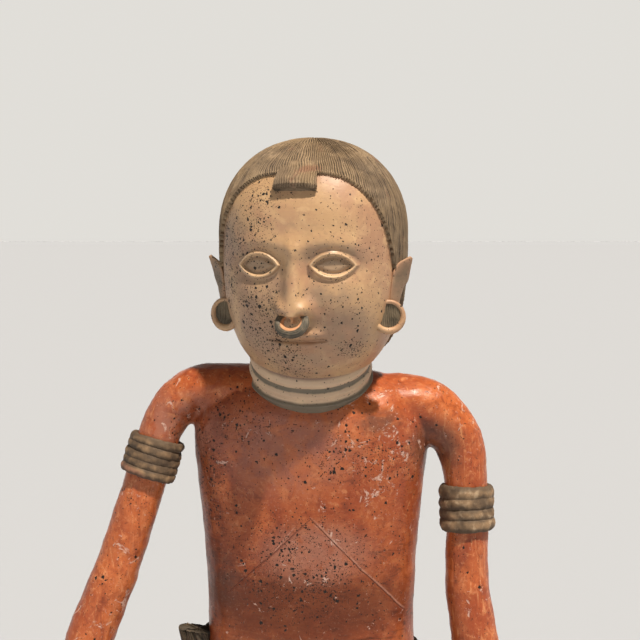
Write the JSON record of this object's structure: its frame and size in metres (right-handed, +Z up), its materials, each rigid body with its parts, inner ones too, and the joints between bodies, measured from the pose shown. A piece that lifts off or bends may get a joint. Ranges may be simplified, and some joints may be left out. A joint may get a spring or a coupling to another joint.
{
  "type": "terracotta figure",
  "caption": "Hollow-built burnished clay figure of a standing man with combed hair cap, nose ring, ear rings, arm bands and belt, on a low oval slab.",
  "frame": {"origin": "middle of the slab's flat underside", "axes": "+Z up the figure, -Y the way it faces, +X to the figure's left"},
  "size_m": [0.3888, 0.2077, 0.7025],
  "materials": {
    "fired_clay": "burnished slip with a soft gloss, matte on hair, bands and slab"
  },
  "bodies": {
    "root": {"figure": "fired_clay"}
  },
  "joints": []
}
